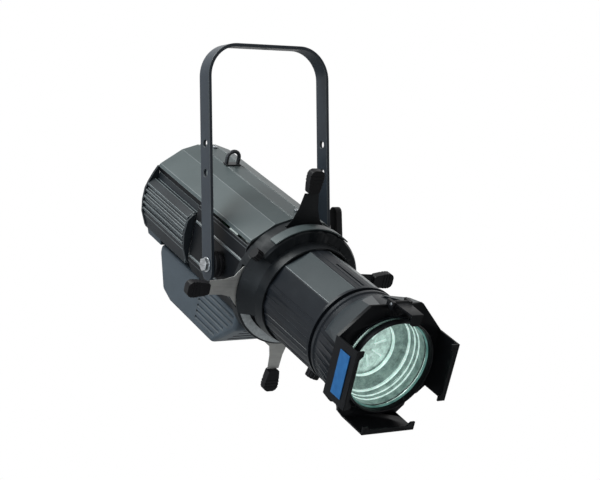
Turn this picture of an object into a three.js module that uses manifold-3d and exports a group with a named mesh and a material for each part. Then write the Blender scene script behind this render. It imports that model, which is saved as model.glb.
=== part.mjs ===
// An LED ellipsoidal stage spotlight hung from a flat-bar yoke.
// Millimetres, +Z up. The origin is the clamp hole in the top face of the yoke's crossbar.
// The head hangs nose-down in the yoke and its beam points to -Y. Inside the head group a
// point is (x, -t, v): t runs forward along the beam from the tilt pivot and v runs up.
import * as THREE from "three";
import { mergeVertices } from "three/addons/utils/BufferGeometryUtils.js";
import Module from "manifold-3d";

const wasm = await Module();
wasm.setup();

// ---- clearances ----
const GAP = 0.3; // between pieces that touch
const RUNNING = 0.5; // between pieces that slide or turn on each other
const BEYOND = 5; // how far a cutter runs past what it cuts

// ---- yoke ----
const YOKE_WIDTH = 245;
const YOKE_DROP = 377; // crossbar top to the tilt pivot
const BAR_WIDTH = 32;
const BAR_THICK = 6;
const YOKE_BEND = 58; // outer radius of the bends
const YOKE_TAIL = 28; // arm below the pivot
const CLAMP_HOLE = 13;
const ARM_HOLE = 13;
const ARM_HOLE_HEIGHTS = [206, 156]; // above the pivot
const PIVOT_HOLE = 13;
const TILT = 23.3; // nose-down angle of the head, degrees

// ---- pivots and tilt lever ----
const BOLT = 12;
const BOLT_HEAD = 24;
const BOLT_HEAD_THICK = 8;
const BOLT_FLANGE = 34; // plate of the bolt on the side panel
const BOLT_FLANGE_THICK = 4;
const WASHER = 46;
const LEVER_HUB = 28;
const LEVER_STAND_OFF = 20; // from the arm to the lever blade
const LEVER_THICK = 12;
const LEVER_WIDE = 22;
const LEVER_LENGTH = 84; // pivot to the centre of the blade's round end
const LEVER_LEAN = 3; // rearward lean from upright, degrees

// ---- housing, along the beam ----
const HOUSING_REAR = -280;
const HOUSING_FRONT = 70;
const WING_FRONT = -105; // front end of the wide rear covers
const SHELL = 3; // wall of covers and case
const BULKHEAD_FRONT = 68;
const BULKHEAD_THICK = 6;
const BULKHEAD_HOLE = 122;
const REAR_PANEL_INSET = 4;
const REAR_PANEL_THICK = 3;

// ---- housing, across ----
const TOP_FLAT = 18; // half width of the flat ridge
const TOP_HEIGHT = 114;
const BROW = { x: 50, v: 104 };
const SHOULDER = { x: 90, v: 76 };
const COVER_LIP = { x: 97, v: 63 };
const PANEL_X = 97; // half width over the side panels
const PANEL_FOOT = { x: 86, v: -62 };
const PANEL_WAIST = -40;
const WING_TOP = { x: 99, v: 30 };
const WING_OUT = 111;
const WING_UPPER = 20;
const WING_LOWER = -16;
const WING_FOOT = { x: 94, v: -52 };
const WING_RIBS = 4;
const WING_RIB_PROUD = 3;
const WING_RIB_THICK = 3;
const TRAY_FOOT = { x: 86, v: -64 };
const RIDGE_GROOVE = { x: -15, wide: 3, deep: 1.2 };

// ---- lower case, side outline as t and v ----
const CASE_X = 86;
const CASE_REAR = -226;
const CASE_REAR_DROP = -80;
const CASE_HEEL = { t: -192, v: -140 };
const CASE_BOTTOM = -150;
const CASE_BOTTOM_REAR = -160;
const CASE_BOTTOM_FRONT = 5;
const CASE_CHIN = -94;
const SIDE_LOUVRES = 5;
const LOUVRE_PITCH = 11;
const LOUVRE_TALL = 3.6;
const LOUVRE_FRONT = 52;
const LOUVRE_REAR = -70;
const LOUVRE_TOP = -76;

// ---- inside the housing ----
const SINK_FRONT = -106;
const SINK_BASE_THICK = 8;
const SINK_TOP = 70;
const SINK_BOTTOM = -46;
const SINK_FINS = 13;
const SINK_FIN_THICK = 3;
const FAN_REAR = -243;
const FAN_DEPTH = 25;
const FAN_SIDE = 120;
const FAN_BORE = 112;
const FAN_MOUNT = 40;
const FAN_MOUNT_THICK = 4;
const FAN_BLADES = 7;
const FAN_TIP = 104;
const LED_PLATE = 80;
const LED_THICK = 2;
const OPTIC_REAR = 64;
const OPTIC_FRONT = 104;
const OPTIC_FLANGE = 136;
const OPTIC_FLANGE_THICK = 5;
const SUPPLY = { half: 60, rear: -170, front: -20, tall: 46 };
const BOARD_THICK = 2;

// ---- rear panel fittings ----
const DISPLAY = { wide: 60, tall: 24, v: 34, proud: 1.5 };
const BUTTONS = 4;
const BUTTON = 9;
const BUTTON_PITCH = 17;
const BUTTON_V = 8;
const BUTTON_DEPTH = 7;
const BUTTON_PROUD = 3;
const PORT_V = -28;
const POWER_PORT = { round: 30, x: 54 };
const DATA_PORT = { round: 24, x: 18 };
const PORT_DEPTH = 16;
const PORT_PROUD = 2;
const PORT_RECESS = 3.5;
const VENT_SLOTS = 5;
const VENT = { half: 44, tall: 3.6, pitch: 7, v: 58 };
const LOOP = { t: -174, x: -2, span: 24, bar: 7, tall: 24, pad: 2 };
const SCREW = 9;
const SCREW_TALL = 3;
const SCREW_PLACES = [-258, 40]; // along the ridge
const SCREW_X = 8;

// ---- gate and shutters ----
const GATE_REAR = 72;
const GATE_THICK = 10;
const GATE_ROUND = 216;
const GATE_APERTURE = 80;
const BLADE_THICK = 1;
const BLADE_GAP = 0.8;
const BLADE_HALF = 42;
const BLADE_TIP = 40; // distance of a drawn blade's edge from the axis
const NECK_FOOT = { r: 112, half: 30 };
const NECK_END = { r: 165, half: 11 };
const BLADE_SHOULDER = 96;
const GRIP = { wide: 28, long: 42, thick: 14, corner: 6 };
const HOOD_ROUND = 224;
const HOOD_WALL = 3;
const HOOD_FRONT = 118;
const HOOD_NOSE = 140;
const HOOD_INNER = 84; // radius of the hood's front plate opening
const HOOD_PLATE = 4;
const SLOT_HALF = 38.5; // skirt opening around a shutter neck
const POST = { near: 50, far: 73 };
const POCKET = { half: 66, rear: 100, front: 113 };
const COVER_TURN = { clear: 0.8, thick: 2.2, rear: 96.5, front: 116.5, spread: 78 };
const LOCK_KNOB = { round: 20, tall: 14, stem: 7, t: 107, angle: 146 };

// ---- barrel and lens tube ----
const BARREL_ROUND = 174;
const BARREL_WALL = 4.5;
const BARREL_REAR = 120;
const BARREL_FRONT = 283;
const SIGHT_SLOT = { rear: 193, front: 275, wide: 3.6 };
const KNOB_SLOT = { rear: 222, front: 279, wide: 9 };
const KNOB_ANGLE = 254.8; // around the beam axis, from +X towards +Z
const FOCUS_KNOB = { round: 24, tall: 15, stem: 7, t: 233 };
const TUBE_WALL = 4;
const TUBE_REAR = 150;
const FLARE_REAR = 290;
const FLARE_STEP = 1; // flare foot inside the barrel's outer radius
const FLARE_SPREAD = 5; // flare mouth beyond the barrel's outer radius
const LENS_ROUND = 152;
const LENS_REAR = 370;
const LENS_EDGE = 8;
const LENS_CROWN = 10;
const LENS_SEAT = 3;
const LENS_LAP = 1; // the seat under the lens edge
const REAR_LENS = 168;
const RIM_ROUND = 159;
const RIM_FRONT = 391;

// ---- accessory holder ----
const HOLDER_REAR = 362;
const HOLDER_PLATE = 6;
const HOLDER_FRONT = 420;
const HOLDER_HALF = 98;
const RAIL_HALF = 50;
const RAIL_WALL = 3;
const RAIL_LIP = 14;
const LIP_THICK = 3;
const NOTCH_ROUND = 44;
const NOTCH_PLACE = 86;
const CLIP = { half: 13, thick: 3, front: 419, tall: 16, pin: 5, lug: 5 };
const LABEL = { rear: 381, front: 407, low: -38, high: 36, thick: 1.2 };

// ---- facets of round pieces ----
const FINE = 32;
const MEDIUM = 20;
const COARSE = 12;

const rad = THREE.MathUtils.degToRad;

// ---- materials ----
const paint = (color, roughness, metalness) =>
  new THREE.MeshStandardMaterial({ color, roughness, metalness });
const SATIN_BLACK = paint("#1a1c1e", 0.45, 0.1);
const CASE_GREY = paint("#23282c", 0.5, 0.1);
const DARK_STEEL = paint("#2a2c2e", 0.4, 0.8);
const BRIGHT_STEEL = paint("#b9bdc0", 0.3, 1.0);
const GRIP_BLACK = paint("#0d0d0e", 0.6, 0.0);
const GLASS = paint("#cfe0dc", 0.05, 0.0);
const ALUMINIUM = paint("#9a9fa3", 0.4, 1.0);
const BOARD_GREEN = paint("#1d5a3a", 0.5, 0.0);
const STRIP_BLUE = paint("#2d6eaa", 0.4, 0.0);
const DISPLAY_GREY = paint("#1b2a24", 0.1, 0.0);

// ---- solids ----
function solid(geometry) {
  const bare = geometry.clone();
  bare.deleteAttribute("normal");
  bare.deleteAttribute("uv");
  const merged = mergeVertices(bare, 1e-4);
  const mesh = new wasm.Mesh({
    numProp: 3,
    vertProperties: merged.attributes.position.array,
    triVerts: new Uint32Array(merged.index.array),
  });
  return new wasm.Manifold(mesh);
}

function geometryOf(body) {
  const mesh = body.getMesh();
  const geometry = new THREE.BufferGeometry();
  geometry.setAttribute("position", new THREE.BufferAttribute(mesh.vertProperties, 3));
  geometry.setIndex(new THREE.BufferAttribute(mesh.triVerts, 1));
  geometry.computeVertexNormals();
  return geometry;
}

const cut = (body, cutters) => cutters.reduce((left, cutter) => left.subtract(cutter), body);
const join = (bodies) => bodies.reduce((whole, body) => whole.add(body));

function meshOf(name, body, material) {
  const mesh = new THREE.Mesh(geometryOf(body), material);
  mesh.name = name;
  return mesh;
}

const shapeOf = (points) => new THREE.Shape(points.map(([a, b]) => new THREE.Vector2(a, b)));
const flat = { bevelEnabled: false, curveSegments: COARSE };

// A section in x and v pushed along the beam from t0 to t1.
function alongBeam(shape, t0, t1) {
  const geometry = new THREE.ExtrudeGeometry(shape, { ...flat, depth: t1 - t0 });
  geometry.rotateX(Math.PI / 2);
  geometry.translate(0, -t0, 0);
  return solid(geometry);
}

// A side outline in t and v pushed across from x0 to x1.
function across(points, x0, x1) {
  const outline = shapeOf(points.map(([t, v]) => [-v, -t]));
  const geometry = new THREE.ExtrudeGeometry(outline, { ...flat, depth: x1 - x0 });
  geometry.rotateY(Math.PI / 2);
  geometry.translate(x0, 0, 0);
  return solid(geometry);
}

function block([x0, x1], [t0, t1], [v0, v1]) {
  const geometry = new THREE.BoxGeometry(x1 - x0, t1 - t0, v1 - v0);
  geometry.translate((x0 + x1) / 2, -(t0 + t1) / 2, (v0 + v1) / 2);
  return solid(geometry);
}

// A closed profile of [radius, t] points turned about the beam axis.
function turned(profile, segments = FINE) {
  const points = profile.map(([r, t]) => new THREE.Vector2(r, -t));
  if (THREE.ShapeUtils.area(points) < 0) points.reverse();
  const geometry = new THREE.LatheGeometry(points.concat(points[0]), segments);
  const body = solid(geometry);
  return body.volume() > 0 ? body : solid(flipped(geometry));
}

function flipped(geometry) {
  const turnedRound = geometry.clone();
  const index = turnedRound.index.array;
  for (let i = 0; i < index.length; i += 3) {
    const kept = index[i];
    index[i] = index[i + 1];
    index[i + 1] = kept;
  }
  return turnedRound;
}

const ring = (rIn, rOut, t0, t1, segments) =>
  turned([[rIn, t0], [rOut, t0], [rOut, t1], [rIn, t1]], segments);

function rodAlong(round, t0, t1, x, v, segments = MEDIUM) {
  const geometry = new THREE.CylinderGeometry(round / 2, round / 2, t1 - t0, segments);
  geometry.translate(x, -(t0 + t1) / 2, v);
  return solid(geometry);
}

function rodAcross(round, x0, x1, t, v, segments = MEDIUM) {
  const geometry = new THREE.CylinderGeometry(round / 2, round / 2, x1 - x0, segments);
  geometry.rotateZ(Math.PI / 2);
  geometry.translate((x0 + x1) / 2, -t, v);
  return solid(geometry);
}

function rodUp(round, v0, v1, x, t, segments = MEDIUM) {
  const geometry = new THREE.CylinderGeometry(round / 2, round / 2, v1 - v0, segments);
  geometry.rotateX(Math.PI / 2);
  geometry.translate(x, -t, (v0 + v1) / 2);
  return solid(geometry);
}

// A solid standing on +Z turned about the beam axis to the given angle from +X.
function aroundBeam(body, angle) {
  return body.rotate([0, 90 - angle, 0]);
}

// The polyline moved to its right-hand side by d, with mitred corners.
function offset(points, d) {
  const normals = points.slice(1).map(([bx, by], i) => {
    const [ax, ay] = points[i];
    const length = Math.hypot(bx - ax, by - ay);
    return [(by - ay) / length, -(bx - ax) / length];
  });
  return points.map(([x, y], i) => {
    const before = normals[Math.max(i - 1, 0)];
    const after = normals[Math.min(i, normals.length - 1)];
    const share = 1 + before[0] * after[0] + before[1] * after[1];
    const move = d / share;
    return [x + (before[0] + after[0]) * move, y + (before[1] + after[1]) * move];
  });
}

// A bent sheet: the outer line with its wall on the right-hand side.
const strip = (outer, wall) => shapeOf([...outer, ...offset(outer, wall).reverse()]);
const mirrored = (points) => points.map(([x, v]) => [-x, v]).reverse();
const bothSides = { left: -1, right: 1 };

// ---- yoke ----
const innerX = YOKE_WIDTH / 2 - BAR_THICK;
const outerX = YOKE_WIDTH / 2;

function yokeOutline() {
  const bottom = -YOKE_DROP - YOKE_TAIL;
  const inner = YOKE_BEND - BAR_THICK;
  const centre = outerX - YOKE_BEND;
  const path = new THREE.Shape();
  path.moveTo(outerX, bottom);
  path.lineTo(outerX, -YOKE_BEND);
  path.absarc(centre, -YOKE_BEND, YOKE_BEND, 0, Math.PI / 2, false);
  path.lineTo(-centre, 0);
  path.absarc(-centre, -YOKE_BEND, YOKE_BEND, Math.PI / 2, Math.PI, false);
  path.lineTo(-outerX, bottom);
  path.lineTo(-innerX, bottom);
  path.lineTo(-innerX, -YOKE_BEND);
  path.absarc(-centre, -YOKE_BEND, inner, Math.PI, Math.PI / 2, true);
  path.lineTo(centre, -BAR_THICK);
  path.absarc(centre, -YOKE_BEND, inner, Math.PI / 2, 0, true);
  path.lineTo(innerX, bottom);
  path.closePath();
  return path;
}

function armEnds() {
  const end = -YOKE_DROP - YOKE_TAIL + BAR_WIDTH / 2;
  const straight = block([-outerX - BEYOND, outerX + BEYOND], [-BAR_WIDTH, BAR_WIDTH], [end, BEYOND]);
  return straight.add(rodAcross(BAR_WIDTH, -outerX - BEYOND, outerX + BEYOND, 0, end, FINE));
}

function yoke() {
  const bar = alongBeam(yokeOutline(), -BAR_WIDTH / 2, BAR_WIDTH / 2);
  const bores = ARM_HOLE_HEIGHTS.map((height) =>
    rodAcross(ARM_HOLE, -outerX - BEYOND, outerX + BEYOND, 0, height - YOKE_DROP, COARSE));
  const pivot = rodAcross(PIVOT_HOLE, -outerX - BEYOND, outerX + BEYOND, 0, -YOKE_DROP, MEDIUM);
  const clamp = rodUp(CLAMP_HOLE, -BAR_THICK - BEYOND, BEYOND, 0, 0, MEDIUM);
  return meshOf("yoke", cut(bar.intersect(armEnds()), [...bores, pivot, clamp]), SATIN_BLACK);
}

// ---- pivots: placed in the pivot group, whose origin is on the tilt axis ----
const boltR = BOLT / 2;

// A bolt that is one with the round plate behind the side panel.
function pivotBolt(side, sign) {
  const plate = [PANEL_X + GAP, PANEL_X + GAP + BOLT_FLANGE_THICK];
  const end = sign > 0 ? outerX + LEVER_STAND_OFF / 2 : outerX + GAP;
  const parts = [
    rodAcross(BOLT_FLANGE, plate[0], plate[1], 0, 0),
    rodAcross(BOLT, plate[0], end, 0, 0),
  ];
  if (sign < 0) parts.push(rodAcross(BOLT_HEAD, end, end + BOLT_HEAD_THICK, 0, 0, 6));
  const bolt = join(parts);
  return meshOf("pivot_bolt_" + side, sign < 0 ? bolt.mirror([1, 0, 0]) : bolt, BRIGHT_STEEL);
}

function pivotWasher(side, sign) {
  const start = PANEL_X + 2 * GAP + BOLT_FLANGE_THICK;
  const disc = rodAcross(WASHER, start, innerX - GAP, 0, 0);
  const washer = disc.subtract(rodAcross(BOLT + 2 * RUNNING, 0, outerX, 0, 0));
  return meshOf("pivot_washer_" + side, sign < 0 ? washer.mirror([1, 0, 0]) : washer, GRIP_BLACK);
}

function tiltLever() {
  const start = outerX + GAP;
  const bladeStart = outerX + LEVER_STAND_OFF;
  const hub = rodAcross(LEVER_HUB, start, bladeStart + LEVER_THICK, 0, 0);
  const blade = block(
    [bladeStart, bladeStart + LEVER_THICK],
    [-LEVER_WIDE / 2, LEVER_WIDE / 2],
    [0, LEVER_LENGTH],
  );
  const end = rodAcross(LEVER_WIDE, bladeStart, bladeStart + LEVER_THICK, 0, LEVER_LENGTH, COARSE);
  const bore = rodAcross(BOLT + 2 * RUNNING, 0, outerX + LEVER_STAND_OFF / 2 + RUNNING, 0, 0);
  const lever = meshOf("tilt_lever", join([hub, blade, end]).subtract(bore), GRIP_BLACK);
  lever.rotation.x = -rad(LEVER_LEAN);
  return lever;
}

// ---- housing covers ----
const halfCover = [
  [COVER_LIP.x, COVER_LIP.v],
  [SHOULDER.x, SHOULDER.v],
  [BROW.x, BROW.v],
  [TOP_FLAT, TOP_HEIGHT],
];
const coverLine = [...mirrored(halfCover).reverse(), ...halfCover.slice().reverse()];

function topCover() {
  const skin = alongBeam(strip(coverLine, SHELL), HOUSING_REAR, HOUSING_FRONT);
  const groove = block(
    [RIDGE_GROOVE.x - RIDGE_GROOVE.wide, RIDGE_GROOVE.x],
    [HOUSING_REAR - BEYOND, HOUSING_FRONT + BEYOND],
    [TOP_HEIGHT - RIDGE_GROOVE.deep, TOP_HEIGHT + BEYOND],
  );
  return meshOf("top_cover", skin.subtract(groove), CASE_GREY);
}

const panelLine = [
  [PANEL_X, COVER_LIP.v - SHELL / 2 - GAP],
  [PANEL_X, PANEL_WAIST],
  [PANEL_FOOT.x, PANEL_FOOT.v],
];

function sidePanel(side, sign) {
  const sheet = alongBeam(strip(panelLine, SHELL), WING_FRONT + GAP, HOUSING_FRONT);
  return meshOf("side_panel_" + side, sign < 0 ? sheet.mirror([1, 0, 0]) : sheet, CASE_GREY);
}

// The wide rear cover: a channel wall, then a ribbed cheek.
function sideCover(side, sign) {
  const line = [
    [SHOULDER.x - SHELL, COVER_LIP.v - GAP - SHELL],
    [SHOULDER.x + GAP, WING_TOP.v],
    [WING_TOP.x, WING_TOP.v],
    [WING_OUT, WING_UPPER],
    [WING_OUT, WING_LOWER],
    [WING_FOOT.x, WING_FOOT.v],
  ];
  const sheet = alongBeam(strip(line, SHELL), HOUSING_REAR, WING_FRONT);
  const pitch = (WING_UPPER - WING_LOWER) / (WING_RIBS - 1);
  const ribs = Array.from({ length: WING_RIBS }, (_, i) => {
    const v = WING_LOWER + i * pitch;
    return block(
      [WING_OUT - SHELL / 2, WING_OUT + WING_RIB_PROUD],
      [HOUSING_REAR, WING_FRONT],
      [v - WING_RIB_THICK / 2, v + WING_RIB_THICK / 2],
    );
  });
  const cover = join([sheet, ...ribs]);
  return meshOf("side_cover_" + side, sign < 0 ? cover.mirror([1, 0, 0]) : cover, CASE_GREY);
}

function rearTray() {
  const line = [
    [WING_FOOT.x - SHELL, WING_FOOT.v - GAP],
    [TRAY_FOOT.x, TRAY_FOOT.v - SHELL],
    [-TRAY_FOOT.x, TRAY_FOOT.v - SHELL],
    [-WING_FOOT.x + SHELL, WING_FOOT.v - GAP],
  ];
  const sheet = alongBeam(strip(line, SHELL), HOUSING_REAR, CASE_REAR - GAP);
  return meshOf("rear_tray", sheet, CASE_GREY);
}

const caseTop = PANEL_FOOT.v - GAP - SHELL / 2;
const caseLine = [
  [HOUSING_FRONT, caseTop],
  [HOUSING_FRONT, CASE_CHIN],
  [CASE_BOTTOM_FRONT, CASE_BOTTOM],
  [CASE_BOTTOM_REAR, CASE_BOTTOM],
  [CASE_HEEL.t, CASE_HEEL.v],
  [CASE_REAR, CASE_REAR_DROP],
  [CASE_REAR, caseTop],
];

function lowerCase() {
  const outside = across(caseLine, -CASE_X, CASE_X);
  const inner = offset(caseLine, SHELL);
  inner[0][1] += BEYOND;
  inner[inner.length - 1][1] += BEYOND;
  const hollow = across(inner, -CASE_X + SHELL, CASE_X - SHELL);
  const slots = Array.from({ length: SIDE_LOUVRES }, (_, i) => {
    const v = LOUVRE_TOP - i * LOUVRE_PITCH;
    const front = LOUVRE_FRONT - i * LOUVRE_PITCH;
    return block([-CASE_X - BEYOND, CASE_X + BEYOND], [LOUVRE_REAR, front], [v, v + LOUVRE_TALL]);
  });
  return meshOf("lower_case", cut(outside, [hollow, ...slots]), CASE_GREY);
}

// ---- inside the housing ----
function insideOutline(clearance) {
  const roof = offset(coverLine, SHELL + clearance).slice(1, -1);
  const wall = offset(panelLine, SHELL + clearance);
  return [...roof, ...wall, ...mirrored(wall)];
}

function bulkhead() {
  const rear = BULKHEAD_FRONT - BULKHEAD_THICK;
  const plate = alongBeam(shapeOf(insideOutline(GAP)), rear, BULKHEAD_FRONT);
  const bore = rodAlong(BULKHEAD_HOLE, rear - BEYOND, BULKHEAD_FRONT + BEYOND, 0, 0, FINE);
  return meshOf("bulkhead", plate.subtract(bore), DARK_STEEL);
}

const panelRear = HOUSING_REAR + REAR_PANEL_INSET;
const panelFront = panelRear + REAR_PANEL_THICK;
const buttonX = (i) => (i - (BUTTONS - 1) / 2) * BUTTON_PITCH;
const ports = [
  { name: "power_in", x: -POWER_PORT.x, round: POWER_PORT.round },
  { name: "data_in", x: -DATA_PORT.x, round: DATA_PORT.round },
  { name: "data_out", x: DATA_PORT.x, round: DATA_PORT.round },
  { name: "power_out", x: POWER_PORT.x, round: POWER_PORT.round },
];

function rearPanel() {
  const wall = SHOULDER.x - 2 * SHELL - 2 * GAP;
  const roof = offset(coverLine, SHELL + GAP).slice(2, -2);
  const foot = TRAY_FOOT.v + GAP;
  const outline = [...roof, [wall, BROW.v / 2], [wall, foot], [-wall, foot], [-wall, BROW.v / 2]];
  const plate = alongBeam(shapeOf(outline), panelRear, panelFront);
  const through = [panelRear - BEYOND, panelFront + BEYOND];
  const half = BUTTON / 2 + RUNNING;
  const buttonHoles = Array.from({ length: BUTTONS }, (_, i) =>
    block([buttonX(i) - half, buttonX(i) + half], through, [BUTTON_V - half, BUTTON_V + half]));
  const portHoles = ports.map(({ x, round }) =>
    rodAlong(round + 2 * GAP, through[0], through[1], x, PORT_V));
  const vents = Array.from({ length: VENT_SLOTS }, (_, i) => {
    const v = VENT.v + i * VENT.pitch;
    return block([-VENT.half, VENT.half], through, [v, v + VENT.tall]);
  });
  return meshOf("rear_panel", cut(plate, [...buttonHoles, ...portHoles, ...vents]), SATIN_BLACK);
}

function display() {
  const { wide, tall, v, proud } = DISPLAY;
  const window = block(
    [-wide / 2, wide / 2],
    [panelRear - GAP - proud, panelRear - GAP],
    [v - tall / 2, v + tall / 2],
  );
  return meshOf("display", window, DISPLAY_GREY);
}

function button(i) {
  const x = buttonX(i);
  const half = BUTTON / 2;
  const rear = panelRear - BUTTON_PROUD;
  const key = block([x - half, x + half], [rear, rear + BUTTON_DEPTH], [BUTTON_V - half, BUTTON_V + half]);
  return meshOf("button_" + (i + 1), key, GRIP_BLACK);
}

function port({ name, x, round }) {
  const rear = panelRear - PORT_PROUD;
  const shellBody = rodAlong(round, rear, rear + PORT_DEPTH, x, PORT_V);
  const recess = rodAlong(round / 2, rear - BEYOND, rear + PORT_RECESS, x, PORT_V);
  return meshOf(name, shellBody.subtract(recess), DARK_STEEL);
}

function heatSink() {
  const wall = SHOULDER.x - 2 * SHELL - 2 * GAP;
  const base = block([-wall, wall], [SINK_FRONT - SINK_BASE_THICK, SINK_FRONT], [SINK_BOTTOM, SINK_TOP]);
  const rear = FAN_REAR + FAN_DEPTH + GAP;
  const pitch = (2 * wall - SINK_FIN_THICK) / (SINK_FINS - 1);
  const fins = Array.from({ length: SINK_FINS }, (_, i) => {
    const x = -wall + i * pitch;
    return block([x, x + SINK_FIN_THICK], [rear, SINK_FRONT], [SINK_BOTTOM, SINK_TOP]);
  });
  return meshOf("heat_sink", join([base, ...fins]), ALUMINIUM);
}

function fanFrame() {
  const half = FAN_SIDE / 2;
  const frame = block([-half, half], [FAN_REAR, FAN_REAR + FAN_DEPTH], [-half, half]);
  const bore = rodAlong(FAN_BORE, FAN_REAR - BEYOND, FAN_REAR + FAN_DEPTH + BEYOND, 0, 0, FINE);
  const mount = rodAlong(FAN_MOUNT, FAN_REAR, FAN_REAR + FAN_MOUNT_THICK, 0, 0);
  const arm = FAN_MOUNT_THICK / 2;
  const reach = FAN_BORE / 2 + arm;
  const crossed = [
    block([-reach, reach], [FAN_REAR, FAN_REAR + FAN_MOUNT_THICK], [-arm, arm]),
    block([-arm, arm], [FAN_REAR, FAN_REAR + FAN_MOUNT_THICK], [-reach, reach]),
  ];
  return meshOf("fan_frame", join([frame.subtract(bore), mount, ...crossed]), GRIP_BLACK);
}

function fanRotor() {
  const rear = FAN_REAR + FAN_MOUNT_THICK + RUNNING;
  const front = FAN_REAR + FAN_DEPTH - RUNNING;
  const hub = rodAlong(FAN_MOUNT, rear, front, 0, 0);
  const middle = (rear + front) / 2;
  const blades = Array.from({ length: FAN_BLADES }, (_, i) => {
    const geometry = new THREE.BoxGeometry(2, (front - rear) / 2, FAN_TIP / 2 - FAN_MOUNT / 4);
    geometry.translate(0, 0, (FAN_TIP / 2 + FAN_MOUNT / 4) / 2);
    geometry.rotateZ(rad(35));
    geometry.rotateY((i / FAN_BLADES) * 2 * Math.PI);
    geometry.translate(0, -middle, 0);
    return solid(geometry);
  });
  return meshOf("fan_rotor", join([hub, ...blades]), GRIP_BLACK);
}

function ledBoard() {
  const rear = SINK_FRONT + GAP;
  const half = LED_PLATE / 2;
  return meshOf("led_board", block([-half, half], [rear, rear + LED_THICK], [-half, half]), BOARD_GREEN);
}

function mixingOptic() {
  const rear = SINK_FRONT + 2 * GAP + LED_THICK;
  const front = BULKHEAD_FRONT - BULKHEAD_THICK - GAP;
  const profile = [
    [0, rear],
    [OPTIC_REAR / 2, rear],
    [OPTIC_FRONT / 2, front - OPTIC_FLANGE_THICK],
    [OPTIC_FLANGE / 2, front - OPTIC_FLANGE_THICK],
    [OPTIC_FLANGE / 2, front],
    [0, front],
  ];
  return meshOf("mixing_optic", turned(profile, MEDIUM), GLASS);
}

const supplyFloor = CASE_BOTTOM + SHELL + GAP;

function powerSupply() {
  const { half, rear, front, tall } = SUPPLY;
  const start = Math.max(rear, CASE_BOTTOM_REAR + GAP);
  return meshOf(
    "power_supply",
    block([-half, half], [start, front], [supplyFloor, supplyFloor + tall]),
    ALUMINIUM,
  );
}

function controlBoard() {
  const { half, front, tall } = SUPPLY;
  const low = supplyFloor + tall + GAP;
  return meshOf(
    "control_board",
    block([-half, half], [front - 2 * half, front], [low, low + BOARD_THICK]),
    BOARD_GREEN,
  );
}

// ---- fittings on the ridge ----
function safetyLoop() {
  const { t, x, span, bar, tall, pad } = LOOP;
  const low = TOP_HEIGHT + GAP + pad / 2;
  const legs = [x - span / 2, x + span / 2].map((at) => rodUp(bar, low, low + tall, at, t, COARSE));
  const half = (span + bar) / 2;
  const top = rodAcross(bar, x - half, x + half, t, low + tall, COARSE);
  const foot = block([x - half, x + half], [t - bar, t + bar], [TOP_HEIGHT + GAP, TOP_HEIGHT + GAP + pad]);
  return meshOf("safety_loop", join([...legs, top, foot]), DARK_STEEL);
}

function coverScrew(i) {
  const screw = rodUp(SCREW, TOP_HEIGHT + GAP, TOP_HEIGHT + GAP + SCREW_TALL, SCREW_X, SCREW_PLACES[i], COARSE);
  return meshOf("cover_screw_" + (i + 1), screw, BRIGHT_STEEL);
}

// ---- gate ----
const gateFront = GATE_REAR + GATE_THICK;
const bladeRear = (i) => gateFront + BLADE_GAP + i * (BLADE_THICK + BLADE_GAP);
const hoodRear = bladeRear(4);
const hoodR = HOOD_ROUND / 2;
const barrelR = BARREL_ROUND / 2;

function gatePlate() {
  const journal = BULKHEAD_HOLE / 2 - RUNNING;
  const start = BULKHEAD_FRONT - BULKHEAD_THICK + RUNNING;
  const profile = [
    [GATE_APERTURE / 2, start],
    [journal, start],
    [journal, GATE_REAR],
    [GATE_ROUND / 2, GATE_REAR],
    [GATE_ROUND / 2, gateFront],
    [GATE_APERTURE / 2, gateFront],
  ];
  return meshOf("gate_plate", turned(profile), DARK_STEEL);
}

function neckSlots() {
  const slot = () => block([-SLOT_HALF, SLOT_HALF], [gateFront, hoodRear], [GATE_ROUND / 2 - SLOT_HALF, hoodR + BEYOND]);
  return [0, 90, 180, 270].map((angle) => aroundBeam(slot(), angle));
}

function gateHood() {
  const profile = [
    [hoodR - HOOD_WALL, GATE_REAR + GAP],
    [hoodR, GATE_REAR + GAP],
    [hoodR, HOOD_FRONT],
    [barrelR + HOOD_WALL, HOOD_NOSE],
    [barrelR + GAP, HOOD_NOSE],
    [barrelR + GAP, BARREL_REAR - GAP],
    [HOOD_INNER - BEYOND, BARREL_REAR - GAP],
    [HOOD_INNER - BEYOND, BARREL_REAR - GAP - HOOD_PLATE],
    [hoodR - HOOD_WALL, BARREL_REAR - GAP - HOOD_PLATE - HOOD_WALL],
    [hoodR - HOOD_WALL, hoodRear + HOOD_PLATE],
    [HOOD_INNER / 2, hoodRear + HOOD_PLATE],
    [HOOD_INNER / 2, hoodRear],
    [hoodR - HOOD_WALL, hoodRear],
  ];
  const corner = () => block([POST.near, POST.far], [gateFront + GAP, hoodRear + HOOD_PLATE / 2], [POST.near, POST.far]);
  const posts = [0, 90, 180, 270].map((angle) => aroundBeam(corner(), angle));
  const pocket = block([-POCKET.half, POCKET.half], [POCKET.rear, POCKET.front], [POST.near, hoodR + BEYOND]);
  const shellBody = cut(turned(profile), [...neckSlots(), pocket]);
  return meshOf("gate_hood", join([shellBody, ...posts]), CASE_GREY);
}

// A drawn shutter standing on +Z; the others are turned round the beam axis.
function shutterBlade(name, order, angle) {
  const outline = [
    [-BLADE_HALF, BLADE_TIP],
    [BLADE_HALF, BLADE_TIP],
    [BLADE_HALF, BLADE_SHOULDER],
    [NECK_FOOT.half, NECK_FOOT.r],
    [NECK_END.half, NECK_END.r],
    [-NECK_END.half, NECK_END.r],
    [-NECK_FOOT.half, NECK_FOOT.r],
    [-BLADE_HALF, BLADE_SHOULDER],
  ];
  const blade = alongBeam(shapeOf(outline), bladeRear(order), bladeRear(order) + BLADE_THICK);
  return meshOf("shutter_blade_" + name, aroundBeam(blade, angle), DARK_STEEL);
}

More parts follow.
